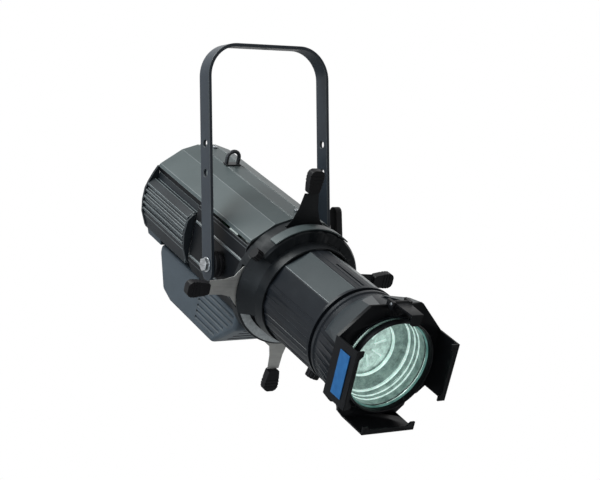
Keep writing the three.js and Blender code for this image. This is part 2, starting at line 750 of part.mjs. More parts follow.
function shutterGrip(name, order, angle) {
  const { wide, long, thick, corner } = GRIP;
  const low = NECK_END.r + GAP;
  const half = wide / 2;
  const outline = [
    [-half + corner, low],
    [half - corner, low],
    [half, low + corner],
    [half, low + long - corner],
    [half - corner, low + long],
    [-half + corner, low + long],
    [-half, low + long - corner],
    [-half, low + corner],
  ];
  const middle = bladeRear(order) + BLADE_THICK / 2;
  const grip = alongBeam(shapeOf(outline), middle - thick / 2, middle + thick / 2);
  return meshOf("shutter_grip_" + name, aroundBeam(grip, angle), GRIP_BLACK);
}

// The curved cover of the accessory slot, which turns round the hood.
function slotCover() {
  const { clear, thick, rear, front, spread } = COVER_TURN;
  const band = ring(hoodR + clear, hoodR + clear + thick, rear, front);
  const reach = (hoodR + 2 * thick) * Math.tan(rad(spread / 2));
  const wedge = shapeOf([[0, 0], [reach, hoodR + 2 * thick], [-reach, hoodR + 2 * thick]]);
  return meshOf("slot_cover", band.intersect(alongBeam(wedge, rear - BEYOND, front + BEYOND)), CASE_GREY);
}

function knobOn(surface, { round, tall, stem, t, angle }, embed) {
  const cap = rodUp(round, surface + RUNNING, surface + RUNNING + tall, 0, t, COARSE);
  const shaft = rodUp(stem, surface - embed, surface + RUNNING + tall / 2, 0, t, COARSE);
  return aroundBeam(embed > 0 ? cap.add(shaft) : cap, angle);
}

function barrelLockKnob() {
  return meshOf("barrel_lock_knob", knobOn(hoodR, LOCK_KNOB, 0), GRIP_BLACK);
}

// ---- barrel ----
function barrelShell() {
  const inner = barrelR - BARREL_WALL;
  const tube = ring(inner, barrelR, BARREL_REAR, BARREL_FRONT);
  const sight = block(
    [-SIGHT_SLOT.wide / 2, SIGHT_SLOT.wide / 2],
    [SIGHT_SLOT.rear, SIGHT_SLOT.front],
    [inner - BEYOND, barrelR + BEYOND],
  );
  const slot = block(
    [-KNOB_SLOT.wide / 2, KNOB_SLOT.wide / 2],
    [KNOB_SLOT.rear, KNOB_SLOT.front],
    [inner - BEYOND, barrelR + BEYOND],
  );
  return meshOf("barrel_shell", cut(tube, [sight, aroundBeam(slot, KNOB_ANGLE)]), SATIN_BLACK);
}

// ---- lens tube ----
const tubeR = barrelR - BARREL_WALL - RUNNING;
const tubeBore = tubeR - TUBE_WALL;

function lensTube() {
  const seat = LENS_REAR - GAP;
  const profile = [
    [tubeBore, TUBE_REAR],
    [tubeR, TUBE_REAR],
    [tubeR, FLARE_REAR],
    [barrelR - FLARE_STEP, FLARE_REAR],
    [barrelR + FLARE_SPREAD, HOLDER_REAR - GAP],
    [RIM_ROUND / 2 - GAP, HOLDER_REAR - GAP],
    [RIM_ROUND / 2 - GAP, seat],
    [LENS_ROUND / 2 - LENS_LAP, seat],
    [LENS_ROUND / 2 - LENS_LAP, HOLDER_REAR - GAP - LENS_SEAT],
    [tubeBore, HOLDER_REAR - GAP - LENS_SEAT],
  ];
  const tube = turned(profile);
  const step = ring(tubeBore - LENS_SEAT, tubeBore + TUBE_WALL / 2, REAR_LENS - LENS_SEAT - GAP, REAR_LENS - GAP);
  return meshOf("lens_tube", tube.add(step), SATIN_BLACK);
}

function lens(name, round, rear, edge, crown) {
  const r = round / 2;
  const front = rear + edge;
  const profile = [
    [0, rear],
    [r, rear],
    [r, front],
    [r - 2 * LENS_SEAT, front],
    [r * 0.75, front + crown * 0.45],
    [r * 0.4, front + crown * 0.85],
    [0, front + crown],
  ];
  return meshOf(name, turned(profile), GLASS);
}

function frontLens() {
  return lens("front_lens", LENS_ROUND - 2 * GAP, LENS_REAR, LENS_EDGE, LENS_CROWN);
}

function rearLens() {
  return lens("rear_lens", 2 * (tubeBore - GAP), REAR_LENS, LENS_EDGE, LENS_CROWN);
}

function lensRim() {
  const inner = LENS_ROUND / 2 - LENS_SEAT;
  const low = LENS_REAR + LENS_EDGE + GAP;
  const profile = [
    [inner, low],
    [RIM_ROUND / 2 - GAP, low],
    [RIM_ROUND / 2 - GAP, RIM_FRONT],
    [inner, RIM_FRONT],
  ];
  return meshOf("lens_rim", turned(profile), SATIN_BLACK);
}

// ---- accessory holder ----
const plateFront = HOLDER_REAR + HOLDER_PLATE;

function holderPlate() {
  const h = HOLDER_HALF;
  const r = RAIL_HALF;
  const outline = [[h, r], [r, h], [-r, h], [-h, r], [-h, -r], [-r, -h], [r, -h], [h, -r]];
  const plate = alongBeam(shapeOf(outline), HOLDER_REAR, plateFront);
  const notches = [-1, 1].map((sign) =>
    rodAlong(NOTCH_ROUND, HOLDER_REAR - BEYOND, plateFront + BEYOND, sign * NOTCH_PLACE, -NOTCH_PLACE));
  return cut(plate, notches);
}

// One side of the holder on +Z: a wall with a lip at its front.
function holderRail(angle) {
  const wall = block([-RAIL_HALF, RAIL_HALF], [HOLDER_REAR, HOLDER_FRONT], [HOLDER_HALF - RAIL_WALL, HOLDER_HALF]);
  const lip = block(
    [-RAIL_HALF, RAIL_HALF],
    [HOLDER_FRONT - LIP_THICK, HOLDER_FRONT],
    [HOLDER_HALF - RAIL_LIP, HOLDER_HALF],
  );
  return aroundBeam(wall.add(lip), angle);
}

const pinT = plateFront + CLIP.pin;
const pinV = HOLDER_HALF + CLIP.pin;

function clipLugs() {
  return [-1, 1].map((sign) => {
    const near = CLIP.half + RUNNING;
    const spanX = sign > 0 ? [near, near + CLIP.lug] : [-near - CLIP.lug, -near];
    return block(spanX, [HOLDER_REAR, pinT + CLIP.pin], [HOLDER_HALF - CLIP.lug, pinV + CLIP.pin]);
  });
}

function accessoryHolder() {
  const rails = [0, 180, 270].map(holderRail);
  const bore = rodAlong(RIM_ROUND, HOLDER_REAR - BEYOND, plateFront + BEYOND, 0, 0, FINE);
  const pinHole = rodAcross(CLIP.pin + 2 * GAP, -outerX, outerX, pinT, pinV, COARSE);
  const body = cut(join([holderPlate(), ...rails, ...clipLugs()]), [bore, pinHole]);
  return meshOf("accessory_holder", body, SATIN_BLACK);
}

function clipPin() {
  const reach = CLIP.half + RUNNING + CLIP.lug;
  return meshOf("clip_pin", rodAcross(CLIP.pin, -reach, reach, pinT, pinV, COARSE), BRIGHT_STEEL);
}

function frameClip() {
  const { half, thick, front, tall, pin } = CLIP;
  const barrel = rodAcross(pin * 2, -half, half, pinT, pinV, COARSE);
  const arm = block([-half, half], [pinT, front], [pinV, pinV + thick]);
  const nose = block([-half, half], [front - thick, front], [pinV - tall, pinV + thick]);
  const bore = rodAcross(pin + 2 * RUNNING, -half - BEYOND, half + BEYOND, pinT, pinV, COARSE);
  return meshOf("frame_clip", join([barrel, arm, nose]).subtract(bore), DARK_STEEL);
}

function labelStrip() {
  const outer = -HOLDER_HALF - GAP;
  const strip_ = block([outer - LABEL.thick, outer], [LABEL.rear, LABEL.front], [LABEL.low, LABEL.high]);
  return meshOf("label_strip", strip_, STRIP_BLUE);
}

function focusKnob() {
  return meshOf("focus_knob", knobOn(barrelR, { ...FOCUS_KNOB, angle: KNOB_ANGLE }, BARREL_WALL), GRIP_BLACK);
}

// ---- assembly ----
const group = new THREE.Group();
const pivot = new THREE.Group();
pivot.position.z = -YOKE_DROP;
const head = new THREE.Group();
head.rotation.x = rad(TILT);
pivot.add(head);
group.add(yoke(), pivot);
pivot.add(tiltLever());

for (const [side, sign] of Object.entries(bothSides)) {
  head.add(pivotBolt(side, sign), pivotWasher(side, sign));
  head.add(sidePanel(side, sign), sideCover(side, sign));
}
head.add(topCover(), rearTray(), lowerCase(), bulkhead(), rearPanel(), display());
for (let i = 0; i < BUTTONS; i += 1) head.add(button(i));
for (const place of ports) head.add(port(place));
head.add(heatSink(), fanFrame(), fanRotor(), ledBoard(), mixingOptic());
head.add(powerSupply(), controlBoard(), safetyLoop());
for (let i = 0; i < SCREW_PLACES.length; i += 1) head.add(coverScrew(i));

const shutters = { top: 90, bottom: 270, left: 180, right: 0 };
head.add(gatePlate(), gateHood(), slotCover(), barrelLockKnob(), barrelShell());
Object.entries(shutters).forEach(([name, angle], order) => {
  head.add(shutterBlade(name, order, angle), shutterGrip(name, order, angle));
});
head.add(lensTube(), frontLens(), rearLens(), lensRim(), accessoryHolder());
head.add(clipPin(), frameClip(), labelStrip(), focusKnob());

export default group;
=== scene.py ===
import math
import bpy
from mathutils import Matrix, Vector


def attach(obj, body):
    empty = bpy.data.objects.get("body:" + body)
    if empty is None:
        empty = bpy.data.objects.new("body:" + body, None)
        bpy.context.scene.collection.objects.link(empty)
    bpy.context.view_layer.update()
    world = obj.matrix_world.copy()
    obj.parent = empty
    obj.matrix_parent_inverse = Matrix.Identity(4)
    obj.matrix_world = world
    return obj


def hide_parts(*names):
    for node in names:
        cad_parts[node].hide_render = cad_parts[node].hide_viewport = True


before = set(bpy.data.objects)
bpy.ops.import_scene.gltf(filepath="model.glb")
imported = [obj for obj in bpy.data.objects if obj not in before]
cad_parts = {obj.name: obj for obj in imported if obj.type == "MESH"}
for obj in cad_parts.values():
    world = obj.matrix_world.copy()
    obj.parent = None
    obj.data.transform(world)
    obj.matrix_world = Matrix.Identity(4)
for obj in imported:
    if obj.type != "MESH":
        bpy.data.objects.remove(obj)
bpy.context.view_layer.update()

# ---- camera ----
# It stands in front and to the left of the hanging head, a little above the tilt axis.
MM = 0.001
PIVOT_Z = -377
NOSE_DOWN = 23.3
STAND_OFF = 2622.5
pivot = Vector((0, 0, PIVOT_Z)) * MM
turn, rise, roll = math.radians(-32.0), math.radians(2.3), math.radians(-0.7)
back = Vector((math.sin(turn) * math.cos(rise), -math.cos(turn) * math.cos(rise), math.sin(rise)))
side = Vector((math.cos(turn), math.sin(turn), 0))
over = back.cross(side)
across = math.cos(roll) * side + math.sin(roll) * over
upright = math.cos(roll) * over - math.sin(roll) * side
bpy.ops.object.camera_add()
camera = bpy.context.object
camera.matrix_world = (Matrix.Translation(pivot + back * STAND_OFF * MM)
                       @ Matrix((across, upright, back)).transposed().to_4x4())
camera.data.lens = 90
camera.data.sensor_width = 36
camera.data.shift_x = 0.054
camera.data.shift_y = 0.037
camera.data.clip_start = 0.05
bpy.context.scene.camera = camera


# ---- yoke ----
# A flat steel bar bent into a square hoop, 32 by 6, with satin powder coat. It is punched for
# the clamp bolt in the crossbar, for the pivots and for two spare pivot places in each arm.
def clear():
    bpy.ops.object.select_all(action="DESELECT")


def only(piece):
    clear()
    piece.select_set(True)
    bpy.context.view_layer.objects.active = piece


def spot(x, t, v):
    # across, forward along the beam and up, in millimetres
    return Vector((x, -t, v)) * MM


def chain(name, points):
    clear()
    at = [spot(*point) for point in points]
    bpy.ops.mesh.primitive_plane_add(size=MM, location=(0, 0, 0))
    piece = bpy.context.object
    piece.name = name
    bpy.ops.object.mode_set(mode="EDIT")
    bpy.ops.mesh.merge(type="CENTER")
    bpy.ops.transform.translate(value=at[0])
    for before, after in zip(at, at[1:]):
        bpy.ops.mesh.extrude_region_move(TRANSFORM_OT_translate={"value": after - before})
    bpy.ops.mesh.select_all(action="SELECT")
    return piece


def outward():
    bpy.ops.mesh.select_all(action="SELECT")
    bpy.ops.mesh.remove_doubles(threshold=0.00001)
    bpy.ops.mesh.normals_make_consistent(inside=False)
    bpy.ops.object.mode_set(mode="OBJECT")


def slab(name, outline, push, pushes=()):
    # a drawn outline filled and pulled out, with more pulls that also scale the end face
    piece = chain(name, outline)
    bpy.ops.mesh.edge_face_add()
    bpy.ops.mesh.extrude_region_move(TRANSFORM_OT_translate={"value": spot(*push)})
    for move, scale in pushes:
        bpy.ops.mesh.extrude_region_move(TRANSFORM_OT_translate={"value": spot(*move)})
        bpy.ops.transform.resize(value=scale)
    outward()
    return piece


def spun(name, profile, steps=96):
    # a line of radius and place along the beam, spun about the beam
    piece = chain(name, [(r, t, 0) for r, t in profile])
    bpy.ops.mesh.spin(steps=steps, angle=2 * math.pi, center=(0, 0, 0), axis=(0, 1, 0))
    outward()
    return piece


def rod(name, radius, start, end, sides=32):
    low, high = spot(*start), spot(*end)
    clear()
    bpy.ops.mesh.primitive_cylinder_add(
        vertices=sides, radius=radius * MM, depth=(high - low).length, location=(low + high) / 2,
        rotation=(high - low).to_track_quat("Z", "Y").to_euler(),
    )
    piece = bpy.context.object
    piece.name = name
    bpy.ops.object.transform_apply(location=True, rotation=True, scale=True)
    return piece


def apply(piece, kind, **settings):
    only(piece)
    modifier = piece.modifiers.new(kind.title(), kind)
    for name, value in settings.items():
        setattr(modifier, name, value)
    bpy.ops.object.modifier_apply(modifier=modifier.name)


def combine(piece, others, operation):
    for other in others:
        apply(piece, "BOOLEAN", object=other, operation=operation, solver="EXACT")
        bpy.data.objects.remove(other)
    return piece


def soften(piece, width, segments=3, angle=30, edge=None):
    # a paler edge paint, where one is given, goes on the rounded faces only, as a painted highlight along
    # the edges
    if edge:
        piece.data.materials.clear()
        piece.data.materials.append(edge)
        piece.data.materials.append(edge)
    apply(piece, "BEVEL", width=width * MM, segments=segments, limit_method="ANGLE",
          angle_limit=math.radians(angle), harden_normals=False, material=1 if edge else -1)
    only(piece)
    bpy.ops.object.shade_smooth_by_angle(angle=math.radians(angle))
    apply(piece, "WEIGHTED_NORMAL", keep_sharp=True, weight=60)
    return piece


def settle(piece, matrix):
    # the mesh itself moves and its origin stays at zero
    only(piece)
    piece.matrix_world = matrix
    bpy.ops.object.transform_apply(location=True, rotation=True, scale=True)
    return piece


def round_beam(piece, angle):
    # a piece drawn at the top goes to an angle round the beam, counted from +x towards the top
    return settle(piece, Matrix.Rotation(math.radians(90 - angle), 4, "Y"))


def forward(name, outline, rear, depth, pushes=()):
    # an outline of across and up, pulled forward along the beam from its rear face
    return slab(name, [(x, rear, v) for x, v in outline], (0, depth, 0), pushes)


def box(left, low, right, high):
    return [(left, low), (right, low), (right, high), (left, high)]


def mirror_line(points):
    return points + [(-x, v) for x, v in reversed(points)]


def radial(section, angle):
    # a section of distance out and distance aside, stood at an angle round the beam
    ux, uv, wx, wv = math.cos(angle), math.sin(angle), -math.sin(angle), math.cos(angle)
    return [(r * ux + w * wx, r * uv + w * wv) for r, w in section]


def hang(piece, body, look, nodes=(), head=True):
    # a head piece is drawn level, so it is turned nose-down about the pivot and left there
    only(piece)
    if head:
        settle(piece, Matrix.Translation(pivot) @ Matrix.Rotation(math.radians(NOSE_DOWN), 4, "X"))
    if len(piece.data.materials) == 2:
        piece.data.materials[0] = look
    else:
        piece.data.materials.clear()
        piece.data.materials.append(look)
    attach(piece, body)
    if nodes:
        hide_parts(*nodes)
    return piece


class Flow:
    # a node's output that takes part in plain arithmetic
    def __init__(self, finish, socket):
        self.finish, self.socket = finish, socket

    def sum(self, operation, first, second):
        return self.finish.node("ShaderNodeMath", {"operation": operation}, {0: first, 1: second})

    def __add__(self, other):
        return self.sum("ADD", self, other)

    def __radd__(self, other):
        return self.sum("ADD", other, self)

    def __sub__(self, other):
        return self.sum("SUBTRACT", self, other)

    def __mul__(self, other):
        return self.sum("MULTIPLY", self, other)

    def __gt__(self, other):
        return self.sum("GREATER_THAN", self, other)


class Finish:
    # a material under its own name, with one shader and the nodes that feed it
    def __init__(self, name, **constants):
        self.material = bpy.data.materials.new(name)
        self.material.use_nodes = True
        self.tree = self.material.node_tree
        self.shader = self.tree.nodes["Principled BSDF"]
        for socket, value in constants.items():
            self.shader.inputs[socket.replace("_", " ")].default_value = value
        self.place = self.node("ShaderNodeTexCoord", {}, {}, "Object")

    def node(self, kind, settings, values, output=0):
        made = self.tree.nodes.new(kind)
        for key, value in settings.items():
            if key == "ramp":
                while len(made.color_ramp.elements) < len(value):
                    made.color_ramp.elements.new(0.5)
                for stop, (position, colour) in zip(made.color_ramp.elements, value):
                    stop.position, stop.color = position, (*colour, 1)
            else:
                setattr(made, key, value)
        for key, value in values.items():
            if isinstance(value, Flow):
                self.tree.links.new(value.socket, made.inputs[key])
            else:
                made.inputs[key].default_value = value
        return Flow(self, made.outputs[output])

    def feed(self, socket, flow):
        self.tree.links.new(flow.socket, self.shader.inputs[socket])

    def noise(self, scale, detail=2.0, stretch=(1, 1, 1), turn=0.0):
        where = self.node("ShaderNodeMapping", {},
                          {"Vector": self.place, "Rotation": (turn, 0, 0), "Scale": stretch})
        return self.node("ShaderNodeTexNoise", {}, {"Vector": where, "Scale": scale, "Detail": detail})

    def blend(self, factor, dark, pale):
        ramp = [(0.25, dark), (0.75, pale)]
        return self.node("ShaderNodeValToRGB", {"ramp": ramp}, {"Fac": factor})

    def bump(self, height, strength, depth):
        made = self.node("ShaderNodeBump", {},
                         {"Height": height, "Strength": strength, "Distance": depth * MM})
        self.feed("Normal", made)


def powder_coat(name, dark, pale, rough, grain, gloss=0.3):
    # fine orange peel, slow drift of shade, and rubbed specks
    coat = Finish(name, Specular_IOR_Level=gloss)
    drift = coat.noise(9, 4)
    peel = coat.noise(620, 2)
    rubs = coat.noise(38, 6)
    coat.feed("Base Color", coat.blend(drift * 0.6 + peel * 0.25 + rubs * 0.15, dark, pale))
    coat.feed("Roughness", rough + (drift - 0.5) * 0.12 + (rubs > 0.64) * 0.06)
    coat.bump(peel + coat.noise(150, 2) * 0.6, grain, 0.25)
    return coat.material


yoke_coat = powder_coat("yoke_coat", (0.013, 0.017, 0.023), (0.026, 0.034, 0.044), 0.34, 0.10, 0.15)
# Painted highlight: a pale paint for bevelled edges, standing in for light glancing off them.
pale_edge_highlight = powder_coat("pale_edge_highlight", (0.075, 0.088, 0.092), (0.14, 0.16, 0.165), 0.34, 0.08, 0.4)
# Painted highlight: a dimmer paint for bevelled edges on the darker pieces, also used whole on the flank
# rails.
dim_highlight_paint = powder_coat("dim_highlight_paint", (0.022, 0.026, 0.029), (0.045, 0.052, 0.056), 0.36, 0.08, 0.3)


ARM_OUT, BEND, BAR_THICK, BAR_WIDE = 122.5, 58, 6, 32
ARM_END, ARM_ROUND = -405, -389
BOLT_HOLE = 6.5
BEYOND_YOKE = 130


def hoop(inset):
    # the bar's outer line, or one set in from it, from foot to foot
    radius, edge = BEND - inset, ARM_OUT - inset
    bends = []
    for i in range(17):
        angle = math.pi / 2 * i / 16
        bends.append((ARM_OUT - BEND + radius * math.cos(angle), -BEND + radius * math.sin(angle)))
    return [(edge, ARM_END)] + mirror_line(bends) + [(-edge, ARM_END)]


bar = forward("yoke_bar", hoop(0) + hoop(BAR_THICK)[::-1], -BAR_WIDE / 2, BAR_WIDE)
foot_arc = [(16 * math.cos(a * math.pi / 24), ARM_ROUND - 16 * math.sin(a * math.pi / 24))
            for a in range(25)]
trim_line = [(-20, 5), (20, 5), (20, ARM_ROUND)] + foot_arc + [(-20, ARM_ROUND)]
trim = slab("arm_trim", [(-BEYOND_YOKE, t, v) for t, v in trim_line], (2 * BEYOND_YOKE, 0, 0))
combine(bar, [trim], "INTERSECT")
holes = [rod("hole", BOLT_HOLE, (-BEYOND_YOKE, 0, v), (BEYOND_YOKE, 0, v))
         for v in (-171, -221, PIVOT_Z)]
holes.append(rod("hole", BOLT_HOLE, (0, 0, -12), (0, 0, 6)))
combine(bar, holes, "DIFFERENCE")
soften(bar, 0.9, edge=dim_highlight_paint)
hang(bar, "yoke", yoke_coat, ["yoke"], head=False)

# ---- pivots ----
# Each side hangs on a zinc plated bolt through a thick plastic friction washer. The left bolt
# ends in a hexagon head over a steel washer, the right one takes the tilt lever.
zinc = Finish("zinc_plate", Metallic=1.0)
streak = zinc.noise(300, 3, (1, 0.2, 1))
zinc.feed("Base Color", zinc.blend(streak, (0.20, 0.21, 0.22), (0.46, 0.48, 0.50)))
zinc.feed("Roughness", 0.22 + streak * 0.2)
zinc.bump(streak, 0.05, 0.1)
zinc_plate = zinc.material


def moulded(name, dark, pale, rough, gloss=0.12):
    # fine spark texture of a tool, with a slow change of sheen
    plastic = Finish(name, Specular_IOR_Level=gloss)
    spark = plastic.noise(900, 2)
    drift = plastic.noise(22, 3)
    plastic.feed("Base Color", plastic.blend(drift * 0.7 + spark * 0.3, dark, pale))
    plastic.feed("Roughness", rough + (drift - 0.5) * 0.15)
    plastic.bump(spark, 0.2, 0.12)
    return plastic.material


black_plastic = moulded("black_plastic", (0.003, 0.003, 0.004), (0.009, 0.009, 0.010), 0.5)
SIDES = {"left": -1, "right": 1}


def side_rod(name, radius, near, far, sign, sides=48):
    return rod(name, radius, (sign * near, 0, 0), (sign * far, 0, 0), sides)


for name, sign in SIDES.items():
    washer = side_rod("pivot_disc_" + name, 23, 101.6, 116.2, sign)
    groove = combine(side_rod("groove", 24, 107, 109, sign),
                     [side_rod("core", 21.5, 106, 110, sign)], "DIFFERENCE")
    combine(washer, [groove, side_rod("bore", 6.6, 90, 125, sign)], "DIFFERENCE")
    soften(washer, 0.8)
    hang(washer, "housing", black_plastic, ["pivot_washer_" + name])
    bolt = side_rod("pivot_stud_" + name, 17, 97.3, 101.2, sign)
    if sign < 0:
        extra = [side_rod("shank", 5.9, 97.5, 123, sign), side_rod("head", 12, 122.9, 130.6, sign, 6),
                 side_rod("plate", 13, 122.7, 124.4, sign)]
    else:
        extra = [side_rod("shank", 5.9, 97.5, 132, sign)]
    combine(bolt, extra, "UNION")
    soften(bolt, 0.7)
    hang(bolt, "housing", zinc_plate, ["pivot_bolt_" + name])

# ---- tilt lever ----
# A black plastic paddle on a long hub, clamped on the right pivot bolt. It stands off the arm
# and leans a little to the rear when the pivot is locked.
LEVER_LEAN = 3
paddle = [(-9, -2), (9, -2)] + [
    (11 * math.cos(a * math.pi / 12), 84 + 11 * math.sin(a * math.pi / 12)) for a in range(13)]
lever = slab("tilt_paddle", [(142.5, t, v) for t, v in paddle], (12, 0, 0))
combine(lever, [side_rod("hub", 14, 122.8, 154.5, 1), side_rod("boss", 15, 142.5, 154.5, 1)], "UNION")
panel_line = [(-6, 22), (6, 22), (7.5, 82), (-7.5, 82)]
panel = slab("panel", [(153.5, t, v) for t, v in panel_line], (2, 0, 0))
combine(lever, [panel, side_rod("bore", 6.5, 120, 133, 1)], "DIFFERENCE")
soften(lever, 1.6)
settle(lever, Matrix.Rotation(math.radians(-LEVER_LEAN - NOSE_DOWN), 4, "X"))
hang(lever, "tilt_lever", black_plastic, ["tilt_lever"])

# ---- top cover ----
# A die-cast roof from the rear panel to the gate, with a narrow ridge, sloping brows and a lip
# that overhangs the side channel. A shallow groove and a seam run along the ridge.
HOUSING_REAR = -276
roof_coat = powder_coat("roof_coat", (0.040, 0.052, 0.054), (0.066, 0.080, 0.082), 0.38, 0.12, 0.15)
brow = [(93, 71), (90, 76), (50, 104), (20, 113.4), (18.4, 114)]
under = [(-18.4, 111), (-48.6, 100.9), (-87.5, 73), (-90.6, 69.4)]
ridge_line = [(-15.2, 114), (-15.2, 112.6), (-17.6, 112.6), (-17.6, 113.9)]
section = brow + [(16.8, 114), (16.8, 112.9), (15.6, 112.9), (15.6, 114)] + ridge_line
section += [(-x, v) for x, v in reversed(brow[:-1])] + mirror_line(under[::-1])
roof = forward("roof", section, HOUSING_REAR, 346)
soften(roof, 0.9, 3, 12, pale_edge_highlight)
hang(roof, "housing", roof_coat, ["top_cover"])

# ---- side covers and panels ----
# The rear half carries a wide ribbed cheek under a deep channel, with a rim at the rear and an end
# piece ahead. Past it a flatter panel holds the pivot, with two rails along it.
cheek_coat = powder_coat("cheek_coat", (0.008, 0.010, 0.012), (0.018, 0.022, 0.026), 0.36, 0.12, 0.12)
panel_coat = powder_coat("panel_coat", (0.003, 0.0035, 0.004), (0.008, 0.009, 0.011), 0.40, 0.12, 0.08)
cheek = [(84, 60), (88.5, 60), (90, 47), (96.5, 47), (100.5, 44.5)]
for v in (34, 22, 10, -2, -14):
    out = 113.6 - abs(v - 6) * 0.16
    cheek += [(out - 4.2, v + 6.4), (out, v + 3.6), (out, v + 0.8), (out - 4.2, v - 2.6)]
cheek += [(106, -24), (99, -40), (95.5, -51.5), (91.5, -50.5), (95, -38), (101, -24), (104, 34),
          (98, 43), (87, 44)]
rim_line = [(93, 71), (100, 58), (107, 42), (112, 27), (113, 4), (110, -20), (99, -46), (95, -52),
            (88, -50), (88, 71)]
end_line = [(95, 46), (101, 44), (110, 32), (112, 8), (108, -20), (98, -44), (92, -50), (95, -30)]
flank_line = [(94.5, 66), (97, 61), (97, -40), (86, -62), (83.2, -60.7), (94, -39.3), (93.5, 60),
              (91.5, 66)]
channel_line = [(83.6, 40), (86, 40), (89.6, 69), (86.5, 69)]


def side_slab(name, outline, sign, rear, depth, bevel, angle, edge=None):
    # an outline for the right side, mirrored for the left one
    piece = forward(name, [(x * sign, v) for x, v in outline], rear, depth)
    return soften(piece, bevel, 2, angle, edge)


for name, sign in SIDES.items():
    wing = side_slab("cheek_" + name, cheek, sign, -275, 160, 0.7, 12, pale_edge_highlight)
    hang(wing, "housing", cheek_coat, ["side_cover_" + name])
    rim = side_slab("cheek_rim_" + name, rim_line, sign, -280, 4.6, 0.8, 20, dim_highlight_paint)
    hang(rim, "housing", cheek_coat)
    end = side_slab("cheek_end_" + name, end_line, sign, -114.6, 5, 0.8, 20, dim_highlight_paint)
    hang(end, "housing", cheek_coat)
    flank = side_slab("flank_" + name, flank_line, sign, -104.7, 174.7, 0.7, 12, dim_highlight_paint)
    hang(flank, "housing", panel_coat, ["side_panel_" + name])
    inner = side_slab("channel_" + name, channel_line, sign, -275, 169.6, 0.4, 30)
    hang(inner, "housing", panel_coat)
    for i, v in enumerate((36, -30)):
        rail_line = [(97.2, v + 3), (99, v + 1.4), (99, v - 1.4), (97.2, v - 3)]
        rail = side_slab("flank_rib_%s_%d" % (name, i + 1), rail_line, sign, -100, 168, 0.6, 20, pale_edge_highlight)
        # the rail is painted all over in the dim painted-highlight paint
        hang(rail, "housing", dim_highlight_paint)

# ---- rear tray ----
# A folded closing plate under the rear end, behind the lower case.
tray_line = [(91, -52.4), (86, -67), (-86, -67), (-91, -52.4), (-88, -51.4), (-83.8, -64),
             (83.8, -64), (88, -51.4)]
tray = forward("closing_tray", tray_line, -280, 53.6)
soften(tray, 0.8)
case_plastic = moulded("case_plastic", (0.036, 0.046, 0.056), (0.056, 0.070, 0.083), 0.42, 0.12)
hang(tray, "housing", case_plastic, ["rear_tray"])

# ---- lower case ----
# A moulded tub for the electronics under the head, with a heavy chamfer at its heel and chin,
# and angled louvres in both flanks and in the sloping front.
tub_line = [(70, -63.8), (70, -94), (5, -150), (-160, -150), (-192, -140), (-226, -80), (-226, -63.8)]
tub = slab("tub", [(-86, t, v) for t, v in tub_line], (172, 0, 0))
soften(tub, 7, 4, 20)
cuts = []
for i in range(6):
    low = -78 - i * 11.5
    front = 60 - max(0, i - 1) * 12.5
    slot_line = [(79, low + 6), (90, low - 1.5), (90, low + 3.8), (79, low + 11)]
    for sign in (-1, 1):
        cuts.append(forward("slot", [(x * sign, v) for x, v in slot_line], -62, front + 62))
for i in range(4):
    at = 0.14 + i * 0.22
    t, v = 70 - 65 * at, -94 - 56 * at
    slot_line = [(t + 9, v + 2), (t + 11, v - 4), (t - 6, v + 4), (t - 6, v + 9)]
    cuts.append(slab("slot", [(-62, *point) for point in slot_line], (124, 0, 0)))
combine(tub, cuts, "DIFFERENCE")
soften(tub, 0.6, 2, 25, dim_highlight_paint)
hang(tub, "housing", case_plastic, ["lower_case"])

# ---- rear panel ----
# A black plate across the rear end with a display, four keys, vents and the power and data
# sockets. All marks are left off.
dark_panel = moulded("dark_panel", (0.010, 0.011, 0.012), (0.022, 0.024, 0.026), 0.45)
roof_line = [(83.4, 52), (83.4, 74), (49, 99.5), (17.4, 110.4)]
back_line = mirror_line([(83.4, -63.5)] + roof_line)
KEY_PLACES = [(i - 1.5) * 17 for i in range(4)]
PORT_V = -28
PORTS = (("power_in", -54, 15, 3), ("data_in", -18, 12, 5), ("data_out", 18, 12, 5),
         ("power_out", 54, 15, 3))
plate = forward("rear_plate", back_line, HOUSING_REAR, 3)
cuts = [forward("vent", box(-44, v, 44, v + 3.6), -280, 10) for v in (58, 65, 72, 79, 86)]
for x in KEY_PLACES:
    cuts.append(forward("key_hole", box(x - 5, 3, x + 5, 13), -280, 10))
for _, x, radius, _ in PORTS:
    cuts.append(rod("port_hole", radius + 0.3, (x, -282, PORT_V), (x, -268, PORT_V), 48))
combine(plate, cuts, "DIFFERENCE")
soften(plate, 0.5)
hang(plate, "housing", dark_panel, ["rear_panel"])

screen = Finish("display_window", Roughness=0.08)
glow = screen.noise(60, 2)
screen.feed("Base Color", screen.blend(glow, (0.008, 0.016, 0.013), (0.014, 0.026, 0.020)))
window = forward("display_pane", box(-30, 22, 30, 46), -277.8, 1.5)
combine(window, [forward("inset", box(-26, 25, 26, 43), -280, 2.7)], "DIFFERENCE")
soften(window, 0.3)
hang(window, "housing", screen.material, ["display"])

for i, x in enumerate(KEY_PLACES):
    key = forward("key_%d" % (i + 1), box(x - 4.5, 3.5, x + 4.5, 12.5), -272, -6,
                  [((0, -1, 0), (0.86, 1, 0.86))])
    soften(key, 0.6)
    hang(key, "button_%d" % (i + 1), black_plastic, ["button_%d" % (i + 1)])

for name, x, radius, pins in PORTS:
    body = rod(name + "_shell", radius, (x, -277.9, PORT_V), (x, -262, PORT_V), 48)
    recess = rod("recess", radius * 0.68, (x, -282, PORT_V), (x, -274.6, PORT_V), 48)
    combine(body, [recess], "DIFFERENCE")
    contacts = []
    for j in range(pins):
        angle = 2 * math.pi * j / pins + 0.5
        px, pv = x + radius * 0.36 * math.cos(angle), PORT_V + radius * 0.36 * math.sin(angle)
        contacts.append(rod("pin", 1.1, (px, -277.2, pv), (px, -273, pv), 12))
    combine(body, contacts, "UNION")
    soften(body, 0.4, 2)
    hang(body, "housing", black_plastic, [name])

